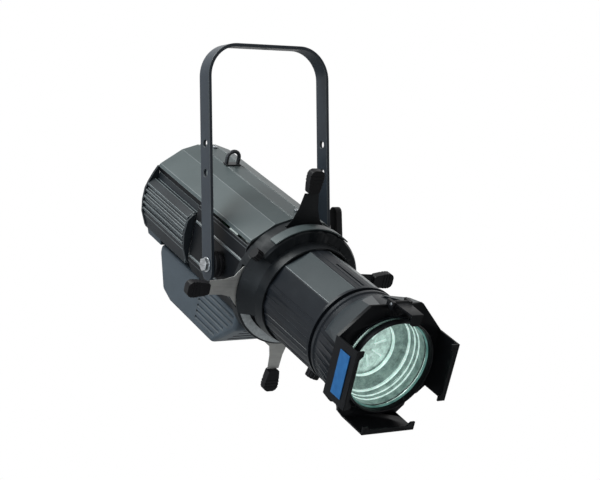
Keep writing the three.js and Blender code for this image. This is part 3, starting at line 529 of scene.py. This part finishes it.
# ---- ridge fittings ----
# A bent steel loop for the safety cable near the rear, and two pan-head cover screws.
blackened = Finish("blackened_steel", Metallic=0.7, Specular_IOR_Level=0.4)
bloom = blackened.noise(45, 5)
blackened.feed("Base Color", blackened.blend(bloom, (0.018, 0.019, 0.021), (0.045, 0.047, 0.050)))
blackened.feed("Roughness", 0.34 + bloom * 0.22)
LOOP_T, RIDGE_FLAT = -174, 114.4
eye = [(-2 - 12 * math.cos(a * math.pi / 12), LOOP_T, 127.4 + 12 * math.sin(a * math.pi / 12))
       for a in range(13)]
loop_line = [(-14, LOOP_T, 115.5)] + eye + [(10, LOOP_T, 115.5)]
clear()
bpy.ops.curve.primitive_bezier_curve_add()
wire = bpy.context.object
wire.name = "cable_loop"
wire.data.splines.clear()
line = wire.data.splines.new("POLY")
line.points.add(len(loop_line) - 1)
for point, place in zip(line.points, loop_line):
    point.co = (*spot(*place), 1)
wire.data.bevel_depth = 3.5 * MM
wire.data.bevel_resolution = 4
wire.data.use_fill_caps = True
only(wire)
bpy.ops.object.convert(target="MESH")
foot = slab("foot", [(x, t, RIDGE_FLAT) for x, t in box(-17.3, -180.8, 13.3, -167.2)], (0, 0, 2))
combine(foot, [wire], "UNION")
foot.name = "cable_loop"
soften(foot, 0.3, 2, 40)
hang(foot, "housing", blackened.material, ["safety_loop"])
for i, t in enumerate((-258, 40)):
    screw = rod("pan_screw_%d" % (i + 1), 4.4, (8, t, RIDGE_FLAT), (8, t, 117), 32)
    cross = [slab("slot", [(x, y, 115.8) for x, y in box(8 + a, t - b, 8 - a, t + b)], (0, 0, 3))
             for a, b in ((0.5, 2.8), (2.8, 0.5))]
    combine(screw, cross, "DIFFERENCE")
    soften(screw, 0.5)
    hang(screw, "housing", zinc_plate, ["cover_screw_%d" % (i + 1)])

# ---- gate hood ----
# The round casting ahead of the housing that holds the shutters. A skirt with four mouths lets
# their necks out. The upper front is closed by a saddle, cone brows run down both sides to a nose
# on the barrel, and the lower front is open, with a bare metal face.
hood_coat = powder_coat("hood_coat", (0.005, 0.006, 0.007), (0.012, 0.014, 0.016), 0.36, 0.12, 0.10)


def sector(name, profile, start, sweep, steps=64):
    # a closed section carried part of the way round the beam, from one angle through a sweep
    at = math.radians(start)
    piece = chain(name, [(radius * math.cos(at), t, radius * math.sin(at)) for radius, t in profile])
    bpy.ops.mesh.edge_face_add()
    bpy.ops.mesh.spin(steps=steps, angle=math.radians(sweep), center=(0, 0, 0), axis=(0, 1, 0))
    outward()
    return piece


hood_line = [(109, 72.4), (112, 72.4), (112, 92.5), (109, 94.05), (42, 94), (42, 90), (109, 90),
             (109, 72.4)]
hood = spun("hood", hood_line, 128)
saddle_line = [(93.8, 93), (112, 92), (112, 113), (108.5, 117.5), (93, 119.8), (93, 116.6), (108, 113)]
saddle = sector("saddle", saddle_line, -18, 162)
cone_line = [(108, 92), (112, 92), (99, 110), (93, 121), (90.2, 139.8), (87.4, 139.8), (90, 119),
             (96, 108)]
brows = [sector("brow", cone_line, start, sweep, 32) for start, sweep in ((143.6, 62), (322, 20.4))]
nose_line = [(87.4, 115), (93.2, 115), (93.2, 121), (90, 140), (87.4, 140), (87.4, 115)]
nose = spun("nose", nose_line)
combine(hood, [saddle, nose] + brows, "UNION")
mouths = []
for angle in (0, 90, 180, 270):
    mouth_line = radial(box(70, -38.5, 118, 38.5), math.radians(angle))
    mouths.append(forward("mouth", mouth_line, 82, 8))
mouths.append(forward("pocket", box(-66, 50, 66, 118), 100, 13))
combine(hood, mouths, "DIFFERENCE")
posts = []
for sx, sv in ((1, 1), (-1, 1), (-1, -1), (1, -1)):
    post_line = [(sx * a, sv * b) for a, b in box(50, 50, 73, 73)]
    posts.append(forward("post", post_line, 82.3, 9))
combine(hood, posts, "UNION")
soften(hood, 0.7, 2, 20, dim_highlight_paint)
hang(hood, "barrel", hood_coat, ["gate_hood"])
mill = Finish("mill_aluminium", Metallic=0.85)
drawn = mill.noise(240, 3, (1, 0.08, 1), math.radians(-NOSE_DOWN))
mill.feed("Base Color", mill.blend(drawn, (0.24, 0.26, 0.27), (0.42, 0.44, 0.45)))
mill.feed("Roughness", 0.36 + drawn * 0.2)
face = sector("gate_face", box(93.5, 94.3, 108.5, 95.3), 206, 128)
soften(face, 0.3, 2)
hang(face, "barrel", mill.material)

# ---- slot cover ----
# A curved slide round the hood that closes the slot for patterns and irises.
slide = sector("slot_slide", box(112.8, 96.5, 115, 116.5), 51, 78, 40)
soften(slide, 0.6)
hang(slide, "slot_cover", roof_coat, ["slot_cover"])

# ---- heat sink, fan and inner parts ----
# These sit behind the covers and keep the frame's solids: extruded fins, a ducted fan, the
# light board, the mixing optic, the power supply and the control board.
laminate = Finish("laminate", Roughness=0.45)
weave = laminate.noise(420, 2)
laminate.feed("Base Color", laminate.blend(weave, (0.012, 0.09, 0.045), (0.03, 0.17, 0.09)))
clear_glass = Finish("clear_glass", Base_Color=(0.86, 0.95, 0.93, 1), Roughness=0.0, IOR=1.5,
                     Transmission_Weight=1.0)
for names, look in (
    (("heat_sink", "power_supply"), mill.material),
    (("led_board", "control_board"), laminate.material),
    (("fan_frame", "fan_rotor"), black_plastic),
    (("bulkhead", "gate_plate"), blackened.material),
    (("mixing_optic", "rear_lens"), clear_glass.material),
):
    for name in names:
        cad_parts[name].data.materials.clear()
        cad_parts[name].data.materials.append(look)

# ---- knobs ----
# Fluted plastic thumb knobs: one locks the barrel at the hood, one runs in a slot low on the
# barrel and locks the focus.
FOCUS_SLOT_ANGLE = 254.8


def thumb_knob(name, radius, tall, at, t, angle, stem):
    knob = rod(name, radius, (0, t, at), (0, t, at + tall), 48)
    flutes = []
    for i in range(12):
        a = i * math.pi / 6
        x, y = 1.06 * radius * math.cos(a), t + 1.06 * radius * math.sin(a)
        flutes.append(rod("flute", 2.0, (x, y, at - 2), (x, y, at + tall + 2), 16))
    combine(knob, flutes, "DIFFERENCE")
    if stem:
        combine(knob, [rod("stem", 3.5, (0, t, at - stem), (0, t, at + 4), 24)], "UNION")
    soften(knob, 0.6)
    return round_beam(knob, angle)


hang(thumb_knob("lock_knob", 10, 14, 112.5, 107, 146, 0), "barrel_lock_knob",
     black_plastic, ["barrel_lock_knob"])
hang(thumb_knob("focus_thumb_knob", 12, 15, 87.5, 233, FOCUS_SLOT_ANGLE, 5), "focus_knob",
     black_plastic, ["focus_knob"])

# ---- shutters ----
# Four stainless framing blades that widen into a fan where they enter the gate. The top and right
# ones are painted near black as painted shade, the bottom and left ones bare. Each ends in a black ridged
# plastic grip.
def blade_finish(name, dark, pale, gloss):
    steel = Finish(name, Metallic=0.4, Specular_IOR_Level=gloss)
    bluing = steel.noise(26, 4)
    scratch = steel.noise(420, 2, (0.1, 1, 1))
    steel.feed("Base Color", steel.blend(bluing * 0.7 + scratch * 0.3, dark, pale))
    steel.feed("Roughness", 0.38 + scratch * 0.2)
    return steel.material


bare_blade = blade_finish("bare_blade", (0.20, 0.20, 0.195), (0.38, 0.375, 0.36), 0.4)
# Painted shade: the top and right blades are the same steel, painted near black for the shade they stand
# in.
shaded_blade = blade_finish("shaded_blade", (0.006, 0.007, 0.008), (0.018, 0.019, 0.021), 0.15)
grip_plastic = moulded("grip_plastic", (0.003, 0.003, 0.004), (0.008, 0.008, 0.009), 0.42)
FIRST_BLADE, BLADE_PITCH = 82.8, 1.8
grip_line = [(7.5, 165.4), (10.5, 168), (12.2, 178), (14, 190), (14, 199), (11, 204.5), (6, 207.2)]
for order, (name, angle, blade_look, tip, waist, root) in enumerate((
    ("top", 90, shaded_blade, 14, 19, 26),
    ("bottom", 270, bare_blade, 11.5, 13.5, 18),
    ("left", 180, bare_blade, 13, 14, 19),
    ("right", 0, shaded_blade, 11.5, 13.5, 20),
)):
    rear = FIRST_BLADE + BLADE_PITCH * order
    fan = [(42, 40), (42, 92), (37.5, 99), (36, 106), (root, 120), (waist, 138), (tip, 165)]
    blade = forward("blade_" + name, mirror_line(fan), rear, 1)
    soften(blade, 0.25, 2)
    grip = forward("grip_" + name, mirror_line(grip_line), rear - 6.5, 14)
    ridges = [forward("ridge", box(-20, v, 20, v + 2), face_t, 3)
              for v in (184, 190, 196) for face_t in (rear - 8.4, rear + 6.4)]
    combine(grip, ridges, "DIFFERENCE")
    soften(grip, 1.4, 3)
    for piece, look, slot, node in ((blade, blade_look, "dark_steel", "shutter_blade_"),
                                    (grip, grip_plastic, "grip_plastic", "shutter_grip_")):
        round_beam(piece, angle)
        hang(piece, "shutter_" + name, look, [node + name])

# ---- barrel ----
# A die-cast tube with flat facets along it, ribs round its lower half, a sight slot on top and a
# slot for the focus knob below. The two upper facets are plates of their own, painted a shade paler as
# painted light from above.
barrel_coat = powder_coat("barrel_coat", (0.005, 0.006, 0.008), (0.013, 0.016, 0.020), 0.32, 0.12, 0.10)
# Painted light: the upper facets are paler than the rest of the barrel because light falls on them from
# above.
lit_facet_paint = powder_coat("lit_facet_paint", (0.024, 0.031, 0.034), (0.042, 0.052, 0.056), 0.34, 0.12, 0.15)
BARREL_RADIUS = 86.9
flats = [85, 101, 137, 165, 187, 211, 233, 247, 262, 278, 293, 307, 329, 353, 15, 43, 79]
ring_line = [(BARREL_RADIUS * math.cos(math.radians(a)), BARREL_RADIUS * math.sin(math.radians(a)))
             for a in flats]
shell = forward("barrel_tube", ring_line, 120.2, 160)
combine(shell, [rod("bore", 82.3, (0, 110, 0), (0, 290, 0), 96)], "DIFFERENCE")
band_line = [(82.5, 278), (BARREL_RADIUS, 278), (BARREL_RADIUS, 283), (82.5, 283), (82.5, 278)]
land_line = [(-8.5, 83.5), (8.5, 83.5), (6.5, 86.6), (-6.5, 86.6)]
lands = [spun("band", band_line), forward("land", land_line, 121, 158)]
rib_line = [(84, -2.6), (86.4, -1.5), (86.4, 1.5), (84, 2.6), (82.8, 2.6), (82.8, -2.6)]
for angle in (161, 168, 175, 182, 189, 196, 204, 212, 220, 228, 320, 328, 336, 344, 352, 0, 8):
    lands.append(forward("rib", radial(rib_line, math.radians(angle)), 141, 138))
combine(shell, lands, "UNION")
sight = forward("sight", box(-1.8, 78, 1.8, 92), 193, 82)
knob_slot = round_beam(forward("knob_slot", box(-4.5, 78, 4.5, 92), 222, 57), FOCUS_SLOT_ANGLE)
combine(shell, [sight, knob_slot], "DIFFERENCE")
soften(shell, 0.5, 2, 10, dim_highlight_paint)
hang(shell, "barrel", barrel_coat, ["barrel_shell"])
for name, (start, end) in {"left": (101, 137), "right": (79, 43)}.items():
    half = abs(math.radians(end - start)) / 2
    middle = math.radians((start + end) / 2)
    out, wide = BARREL_RADIUS * math.cos(half), BARREL_RADIUS * math.sin(half) - 1.4
    section = [(out - 0.5, -wide), (out + 0.7, -wide + 0.8), (out + 0.7, wide - 0.8), (out - 0.5, wide)]
    plate = forward("facet_" + name, radial(section, middle), 141, 136.4)
    soften(plate, 0.4, 2, 12, pale_edge_highlight)
    hang(plate, "barrel", lit_facet_paint)

# ---- lens tube ----
# It slides in the barrel to focus and flares to carry the holder, with ribs along the flare.
HOLDER_SEAT = 361.7
flare_line = [(78, 150), (81.7, 150), (81.7, 288), (83, 290), (86, 290), (86.6, 296), (84.5, 299),
              (88, 325), (92, HOLDER_SEAT), (79.2, HOLDER_SEAT), (79.2, 369.7), (75, 369.7),
              (75, 358.7), (78, 358.7), (78, 150)]
gusset_line = [(299, 82), (299, 84.8), (330, 91), (361.6, 97), (361.6, 88)]
tube = spun("focus_tube", flare_line)
ribs = []
for angle in (158, 166, 174, 182, 190, 198, 206, 214, 235, 255, 270, 285, 305, 326, 334, 342, 350,
              358, 6, 14, 22):
    rib = slab("rib", [(-1.3, *point) for point in gusset_line], (2.6, 0, 0))
    ribs.append(round_beam(rib, angle))
combine(tube, ribs, "UNION")
soften(tube, 0.5, 2, 20, dim_highlight_paint)
hang(tube, "lens_tube", barrel_coat, ["lens_tube"])

# ---- corner funnels ----
# A flat-sided gusset runs from the round flare to each upper corner of the holder.
funnel_coat = powder_coat("funnel_coat", (0.016, 0.020, 0.023), (0.030, 0.037, 0.041), 0.34, 0.12, 0.15)
waist_line = [(46, 93), (93, 46)]
seat_line = [(30, 97.5), (50, 97.5), (97.5, 50), (97.5, 36), (80, 40), (34, 84)]
for name, middle in (("left", 128), ("right", 52)):
    sign = SIDES[name]
    back_arc = []
    for a in range(-32, 33, 8):
        angle = math.radians(middle + a)
        back_arc.append((88.3 * math.cos(angle), 312, 88.3 * math.sin(angle)))
    corner = [(sign * x, 336, v) for x, v in waist_line]
    corner += [(sign * x, HOLDER_SEAT, v) for x, v in seat_line]
    funnel = chain("funnel_" + name, back_arc + corner)
    bpy.ops.mesh.convex_hull()
    outward()
    combine(funnel, [rod("bore", 87, (0, 305, 0), (0, 363, 0), 96)], "DIFFERENCE")
    soften(funnel, 0.5, 2, 12, pale_edge_highlight)
    hang(funnel, "lens_tube", funnel_coat)

# ---- accessory holder ----
# The square plate at the front with a channel on three sides for colour frames, hooked lips at
# the front of each channel and open notches in the lower corners.
holder_line = [(98, 50), (50, 98), (-50, 98), (-98, 50), (-98, -50), (-50, -98), (50, -98), (98, -50)]
PLATE_REAR = 362
rail_line = [(-50, 95), (-50, 98), (50, 98), (50, 95)]
lip_line = [(-50, 98), (50, 98), (50, 84), (42, 84), (36, 90), (-36, 90), (-42, 84), (-50, 84)]
holder = forward("frame_holder", holder_line, PLATE_REAR, 6)
notches = [rod("notch", 22, (sx * 86, 355, -86), (sx * 86, 375, -86), 48) for sx in (-1, 1)]
combine(holder, notches, "DIFFERENCE")
rails = []
for angle in (0, 180, 270):
    wall = forward("rail", rail_line, PLATE_REAR, 58)
    combine(wall, [forward("lip", lip_line, 417, 3)], "UNION")
    rails.append(round_beam(wall, angle))
lugs = [forward("lug", [(sx * a, b) for a, b in box(13.5, 94, 18.5, 108)], PLATE_REAR, 16)
        for sx in (-1, 1)]
combine(holder, rails + lugs, "UNION")
HINGE = (373, 103)
bores = [rod("bore", 79.5, (0, 355, 0), (0, 375, 0), 96),
         rod("pin_hole", 2.8, (-40, *HINGE), (40, *HINGE), 24)]
combine(holder, bores, "DIFFERENCE")
soften(holder, 0.7, 2, 20, dim_highlight_paint)
holder_coat = powder_coat("holder_coat", (0.003, 0.003, 0.004), (0.007, 0.008, 0.009), 0.36, 0.1, 0.08)
hang(holder, "lens_tube", holder_coat, ["accessory_holder"])

# ---- frame clip ----
# A steel strap hinged on a pin at the top of the holder, which drops over an accessory frame.
pin = rod("hinge_pin", 2.5, (-19, *HINGE), (19, *HINGE), 32)
soften(pin, 0.4)
hang(pin, "lens_tube", zinc_plate, ["clip_pin"])
strap = rod("clip_strap", 5, (-13, *HINGE), (13, *HINGE), 48)
arm_line = [(-13, 373), (13, 373), (11, 419), (-11, 419)]
arm = slab("arm", [(x, t, 103.2) for x, t in arm_line], (0, 0, 2.8))
tongue_line = [(-11, 106), (11, 106), (9, 89), (6, 87), (-6, 87), (-9, 89)]
combine(strap, [arm, forward("tongue", tongue_line, 416, 3)], "UNION")
combine(strap, [rod("bore", 3.0, (-20, *HINGE), (20, *HINGE), 32)], "DIFFERENCE")
soften(strap, 0.8)
hang(strap, "frame_clip", holder_coat, ["frame_clip"])

# ---- label strip ----
# A plain blue strip on the outer face of the left channel.
blue = Finish("strip_blue", Roughness=0.4, Specular_IOR_Level=0.15)
fade = blue.noise(70, 4)
blue.feed("Base Color", blue.blend(fade, (0.010, 0.075, 0.21), (0.018, 0.11, 0.28)))
blue.bump(blue.noise(500, 2), 0.05, 0.1)
label = slab("blue_strip", [(-98.3, *point) for point in box(381, -38, 407, 36)], (-1.2, 0, 0))
soften(label, 0.35, 2)
hang(label, "lens_tube", blue.material, ["label_strip"])

# ---- lens and its rim ----
# A thick plano-convex front lens in a black ring with a teal edge, which carries a weak painted glow.
# Inside are a stepped metal sleeve, four bright rings and a round window with eight spokes, which all
# carry a weak painted glow; the rings and spokes are painted near white as painted highlights.
ring_line = [(75.6, 378.3), (79.2, 378.3), (79.2, 389.6), (78.2, 391), (76.8, 390), (75.6, 386),
             (75.6, 378.3)]
rim = spun("lens_ring", ring_line)
soften(rim, 0.4, 2)
hang(rim, "lens_tube", holder_coat, ["lens_rim"])
land = spun("lens_land", [(73, 378.35), (75.5, 378.35), (75.5, 381), (73, 380), (73, 378.35)])
soften(land, 0.3, 2)
# The teal edge tint also carries a weak painted glow, though no lamp is there.
teal = Finish("edge_tint_painted_glow", Roughness=0.15, Emission_Strength=0.35)
tint = teal.noise(60, 3)
teal.feed("Base Color", teal.blend(tint, (0.05, 0.16, 0.14), (0.16, 0.34, 0.30)))
teal.feed("Emission Color", teal.blend(tint, (0.03, 0.12, 0.10), (0.14, 0.34, 0.30)))
hang(land, "lens_tube", teal.material)
DOME_RADIUS, DOME_RISE, DOME_FOOT = 72.8, 8, 378
dome = [(r, DOME_FOOT + DOME_RISE * (1 - (r / DOME_RADIUS) ** 2))
        for r in (0, 7, 14, 21, 28, 35, 42, 49, 56, 63, DOME_RADIUS)]
glass = spun("front_glass", [(0, 370), (75.7, 370), (75.7, DOME_FOOT)] + dome[::-1], 128)
only(glass)
bpy.ops.object.shade_smooth_by_angle(angle=math.radians(25))
lens_glass = Finish("coated_glass", Base_Color=(0.93, 0.99, 0.97, 1), Roughness=0.0, IOR=1.22,
                    Transmission_Weight=1.0)
ripple = lens_glass.noise(30, 1)
lens_glass.bump(ripple, 0.02, 0.1)
hang(glass, "lens_tube", lens_glass.material, ["front_lens"])


def painted_glow_metal(name, dark, pale, strength):
    # mottled reflector metal with a weak painted glow in its own colours, standing in for light from the
    # engine behind, where no lamp is
    metal = Finish(name, Metallic=0.6, Emission_Strength=strength)
    mottle = metal.noise(85, 6)
    fleck = metal.noise(330, 3)
    mix = mottle * 0.65 + fleck * 0.35
    metal.feed("Base Color", metal.blend(mix, dark, pale))
    metal.feed("Emission Color", metal.blend(mix, dark, pale))
    metal.feed("Roughness", 0.25 + fleck * 0.3)
    metal.bump(mottle * 0.6 + fleck * 0.4, 0.4, 1.5)
    return metal.material


# Painted glow on all three; the second is painted near white as a painted highlight on the rings and
# spokes.
satin = painted_glow_metal("sleeve_painted_glow", (0.035, 0.07, 0.065), (0.34, 0.44, 0.41), 0.42)
highlight_glow = painted_glow_metal("painted_highlight_glow", (0.36, 0.50, 0.46), (0.90, 1.0, 0.97), 0.65)
disc_glow = painted_glow_metal("disc_painted_glow", (0.14, 0.22, 0.20), (0.78, 0.90, 0.86), 0.5)
sleeve_line = [(77.5, 318), (77.5, 357), (74.8, 357), (74.8, 369.4), (73.6, 369.4), (73.6, 350),
               (72, 348), (72, 341), (70, 339), (69, 330), (67, 328), (66, 322), (46, 321),
               (46, 318), (77.5, 318)]
sleeve = spun("inner_sleeve", sleeve_line)
soften(sleeve, 0.5, 2)
hang(sleeve, "lens_tube", satin)
HIGHLIGHT_RINGS = ((73.4, 352, 1.7), (71.6, 343, 1.4), (69.0, 331, 3.0), (47, 323, 3.0))
for i, (radius, t, wide) in enumerate(HIGHLIGHT_RINGS):
    ring = spun("painted_highlight_ring_%d" % (i + 1), [
        (radius + 0.6, t - wide), (radius + 0.6, t + wide), (radius - 1.2, t + wide * 0.5),
        (radius - 1.2, t - wide * 0.5), (radius + 0.6, t - wide)])
    soften(ring, 0.4, 2)
    hang(ring, "lens_tube", highlight_glow)
disc = spun("light_window", [(0, 314), (50, 314), (50, 317.5), (44, 318.5), (0, 322)])
soften(disc, 0.5, 2)
hang(disc, "lens_tube", disc_glow)
spoke_line = [(14, -0.7), (34, -1.6), (34, 1.6), (14, 0.7)]
for i in range(8):
    turned = radial(spoke_line, 2 * math.pi * i / 8 + 0.3)
    spoke = forward("window_spoke_%d" % (i + 1), turned, 322.2, 2.2)
    soften(spoke, 0.4, 2)
    hang(spoke, "lens_tube", highlight_glow)

# ---- floor, backdrop and lamps ----
# A floor under the hanging light, plain white to the camera, and a surround that is white to the
# camera, mirrors and glass but dim as a light. The key lamp stands high to the left and behind,
# with weaker lamps at the left and in front.
clear()
bpy.ops.mesh.primitive_plane_add(size=14, location=(0, 0, -1.35))
floor = bpy.context.object
floor.name = "floor"
ground = Finish("floor_white", Base_Color=(0.85, 0.85, 0.85, 1), Roughness=0.9)
to_camera = ground.node("ShaderNodeLightPath", {}, {}, "Is Camera Ray")
paper = ground.node("ShaderNodeEmission", {}, {"Strength": 1.0})
lit = Flow(ground, ground.shader.outputs[0])
mixed = ground.node("ShaderNodeMixShader", {}, {0: to_camera, 1: lit, 2: paper})
ground.tree.links.new(mixed.socket, ground.tree.nodes["Material Output"].inputs["Surface"])
floor.data.materials.append(ground.material)


class Surround(Finish):
    # the same node method on the world's own nodes
    def __init__(self):
        world = bpy.data.worlds.new("surround")
        bpy.context.scene.world = world
        world.use_nodes = True
        self.tree = world.node_tree
        self.shader = self.tree.nodes["Background"]


sky = Surround()
seen = [sky.node("ShaderNodeLightPath", {}, {}, "Is %s Ray" % kind)
        for kind in ("Camera", "Glossy", "Transmission")]
AMBIENT = 0.20
plain = AMBIENT + ((seen[0] + seen[1] + seen[2]) > 0) * (1 - AMBIENT)
sky.feed("Color", sky.node("ShaderNodeCombineColor", {}, {"Red": plain, "Green": plain, "Blue": plain}))


def lamp(name, place, aim, size, power, colour):
    bpy.ops.object.light_add(type="AREA", location=place)
    made = bpy.context.object
    made.name = name
    made.rotation_euler = (Vector(aim) - Vector(place)).to_track_quat("-Z", "Y").to_euler()
    made.data.size = size
    made.data.energy = power
    made.data.color = colour


lamp("key", (-0.9, 0.35, 1.5), (0, -0.05, -0.4), 1.0, 60, (0.96, 1.0, 0.99))
lamp("left", (-1.5, -0.1, -0.35), (0, 0, -0.45), 0.9, 11, (0.80, 0.91, 1.0))
lamp("front", (-1.2, -2.2, -0.2), (0, -0.3, -0.5), 0.8, 6, (0.95, 0.98, 1.0))

bpy.context.scene.view_settings.view_transform = "Standard"
